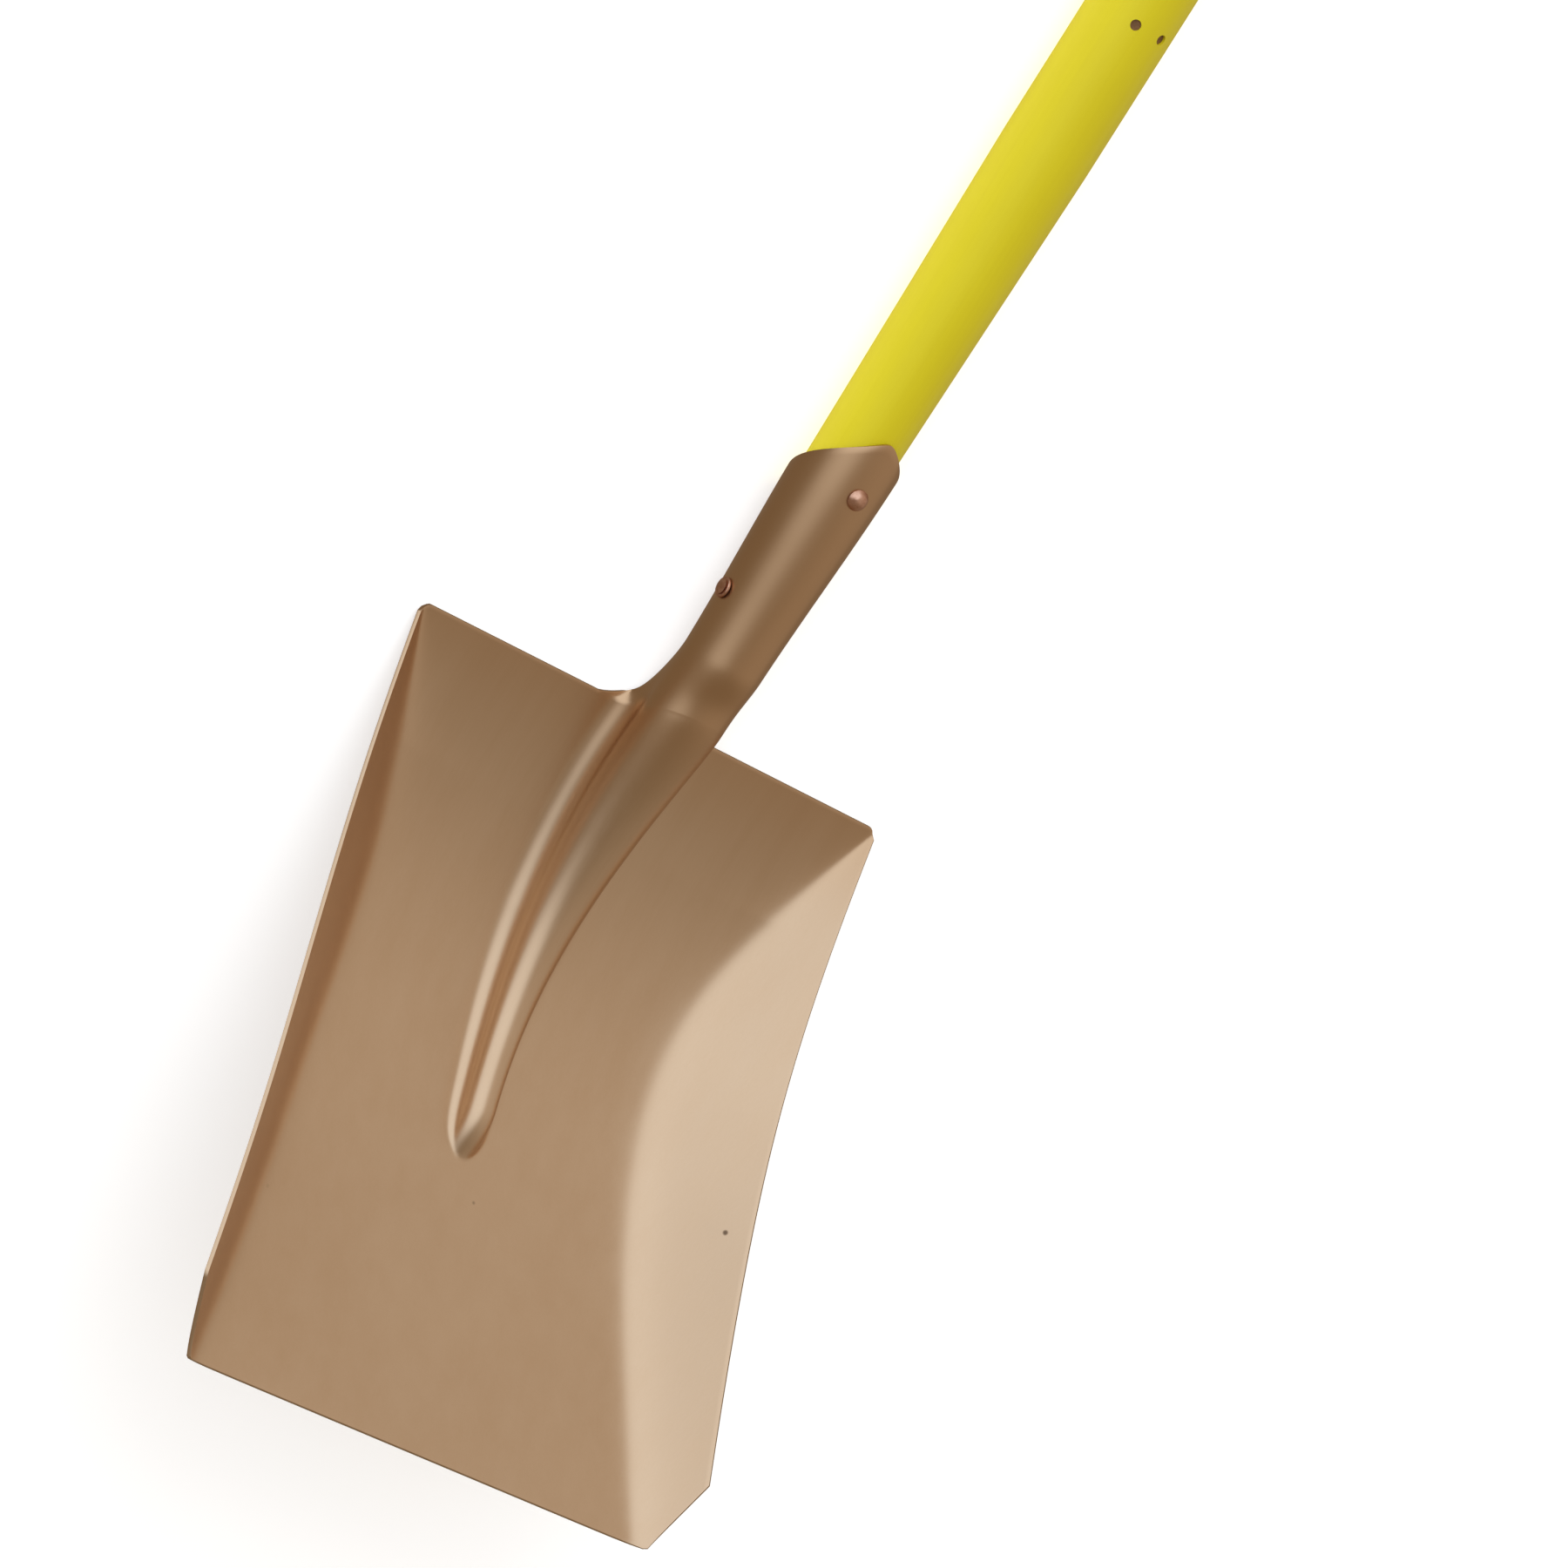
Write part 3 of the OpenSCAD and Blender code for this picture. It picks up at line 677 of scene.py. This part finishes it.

# the pins' colour is far darker than copper: painted shade for the bottom of their holes, varied
# by noise as grime
shaded_pin_copper, tree, shader, place = finish_of("pin_copper_with_hole_shade", (0.30, 0.15, 0.07, 1.0), 0.5, 0.6)
grime_and_hole_shade = place.noise(700.0, 3.0)
feed(shader, Base_Color=tinted(grime_and_hole_shade, (0.36, 0.19, 0.09, 1.0), (0.14, 0.07, 0.03, 1.0)),
     Roughness=0.4 + 0.3 * grime_and_hole_shade)
for node, paint in (("handle_core", ash), ("tube_plug", ash), ("core_pins", shaded_pin_copper)):
    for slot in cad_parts[node].material_slots:
        slot.material = paint

# ---- Grip -----------------------------------------------------------------------------
# A D-grip moulded in black plastic: a ferrule over the tube's end, two arms that open
# from it, and a bar across, with a ribbed soft sleeve on the bar. Two rivets fix it.
hand_width, hand_length, arm_radius, sleeve_radius = 0.096, 0.052, 0.011, 0.016
ferrule_radius, ferrule_length, bar_core = 0.0216, 0.052, 0.010
arm_out = hand_width / 2 + arm_radius
knee_along = tube_ends + 0.034
bar_along = tube_ends + 0.006 + arm_radius + hand_length + sleeve_radius
grip_rivets_along = (0.620, 0.638)

moulding, tree, shader, place = finish_of("black_moulding", (0.022, 0.022, 0.024, 1.0), 0.42)
stipple = place.noise(1400.0, 2.0, 0.6)
rubbed = place.noise(28.0, 3.0)
feed(shader, Base_Color=tinted(rubbed, (0.018, 0.018, 0.020, 1.0), (0.038, 0.038, 0.040, 1.0)),
     Roughness=0.34 + 0.18 * rubbed + 0.10 * stipple, Normal=bumped(stipple, 0.22, 0.0003))
rubber, tree, shader, place = finish_of("sleeve_rubber", (0.050, 0.050, 0.053, 1.0), 0.75)
dust = place.noise(60.0, 4.0, 0.6)
pore = place.noise(2200.0, 2.0)
feed(shader, Base_Color=tinted(dust, (0.040, 0.040, 0.043, 1.0), (0.085, 0.083, 0.080, 1.0)),
     Roughness=0.66 + 0.20 * dust, Normal=bumped(pore, 0.25, 0.0003))


def rod(work, start, end, radius_start, radius_end=None, segments=40):
    """Adds a closed round rod between two points to a bmesh."""
    start, end = Vector(start), Vector(end)
    run = end - start
    made = bmesh.ops.create_cone(
        work, cap_ends=True, segments=segments, radius1=radius_start,
        radius2=radius_end or radius_start, depth=run.length)
    turn = Vector((0, 0, 1)).rotation_difference(run).to_matrix().to_4x4()
    bmesh.ops.transform(work, verts=made["verts"],
                        matrix=Matrix.Translation((start + end) / 2) @ turn)


def ball(work, middle, radius):
    made = bmesh.ops.create_uvsphere(work, u_segments=40, v_segments=24, radius=radius)
    bmesh.ops.translate(work, verts=made["verts"], vec=middle)


def at_handle(across, along):
    return (across, top_edge_y + along, handle_z)


# rods and balls, run together into one skin and eased where they meet
yoke_mesh = bpy.data.meshes.new("grip_moulding")
work = bmesh.new()
ferrule_from = tube_ends - ferrule_length
rod(work, at_handle(0, ferrule_from), at_handle(0, tube_ends), ferrule_radius, segments=96)
rod(work, at_handle(0, tube_ends - 0.004), at_handle(0, tube_ends + 0.014), ferrule_radius,
    0.010, 64)
for hand in (-1, 1):
    shoulder = at_handle(hand * (ferrule_radius - arm_radius), tube_ends)
    knee, top = at_handle(hand * arm_out, knee_along), at_handle(hand * arm_out, bar_along)
    rod(work, shoulder, knee, arm_radius)
    rod(work, knee, top, arm_radius)
    for middle in (shoulder, knee, top):
        ball(work, middle, arm_radius)
rod(work, at_handle(-arm_out, bar_along), at_handle(arm_out, bar_along), bar_core)
work.to_mesh(yoke_mesh)
work.free()
yoke_mesh.materials.append(moulding)
yoke = bpy.data.objects.new("grip_moulding", yoke_mesh)
bpy.context.scene.collection.objects.link(yoke)
whole = yoke.modifiers.new("whole", "REMESH")
whole.mode, whole.voxel_size = "VOXEL", 0.0011
eased = yoke.modifiers.new("eased", "SMOOTH")
eased.factor, eased.iterations = 0.5, 14
as_plain_mesh(yoke)
# bored for the tube, with a shallow recess round each rivet's head and burr
axis = across_handle(0.0) @ Matrix.Rotation(math.radians(-90.0), 4, "X")
drilled(yoke, [(axis, tube_radius + 0.00005, ferrule_from - 0.01, tube_ends + 0.0001)])
recess, seat, past = 0.0046, ferrule_radius - 0.0016, ferrule_radius + 0.003
drilled(yoke, [(across_handle(along), recess, *reach) for along in grip_rivets_along
               for reach in ((seat, past), (-past, -seat))])
standing_for(yoke, "grip", "grip_yoke")

rib_count, groove, plain_end = 11, 0.0010, 0.008
sleeve_outline = [(bar_core, -hand_width / 2), (sleeve_radius - 0.002, -hand_width / 2),
                  (sleeve_radius - 0.0006, -hand_width / 2 + 0.0006),
                  (sleeve_radius, -hand_width / 2 + 0.002)]
pitch = (hand_width - 2 * plain_end) / rib_count
for rib in range(rib_count):
    start = -hand_width / 2 + plain_end + rib * pitch
    for share, depth in ((0.0, 0.0), (0.12, 0.6), (0.25, 1.0), (0.38, 0.6), (0.5, 0.0)):
        sleeve_outline.append((sleeve_radius - groove * depth, start + share * pitch))
sleeve_outline += [(sleeve_radius, hand_width / 2 - 0.002),
                   (sleeve_radius - 0.0006, hand_width / 2 - 0.0006),
                   (sleeve_radius - 0.002, hand_width / 2), (bar_core, hand_width / 2)]
sleeve = lathe("grip_sleeve_skin", sleeve_outline, 96, rubber)
set_in_place(sleeve, Matrix.Translation(at_handle(0.0, bar_along))
             @ Matrix.Rotation(math.radians(90.0), 4, "Y"))
standing_for(sleeve, "sleeve", "grip_sleeve")

rivet_at("grip_rivet_heads", "grip_rivets", grip_rivets_along, 0.0, rivet_sizes)
burr_at("grip_burrs", "grip_rivet_burrs", grip_rivets_along, 0.0)
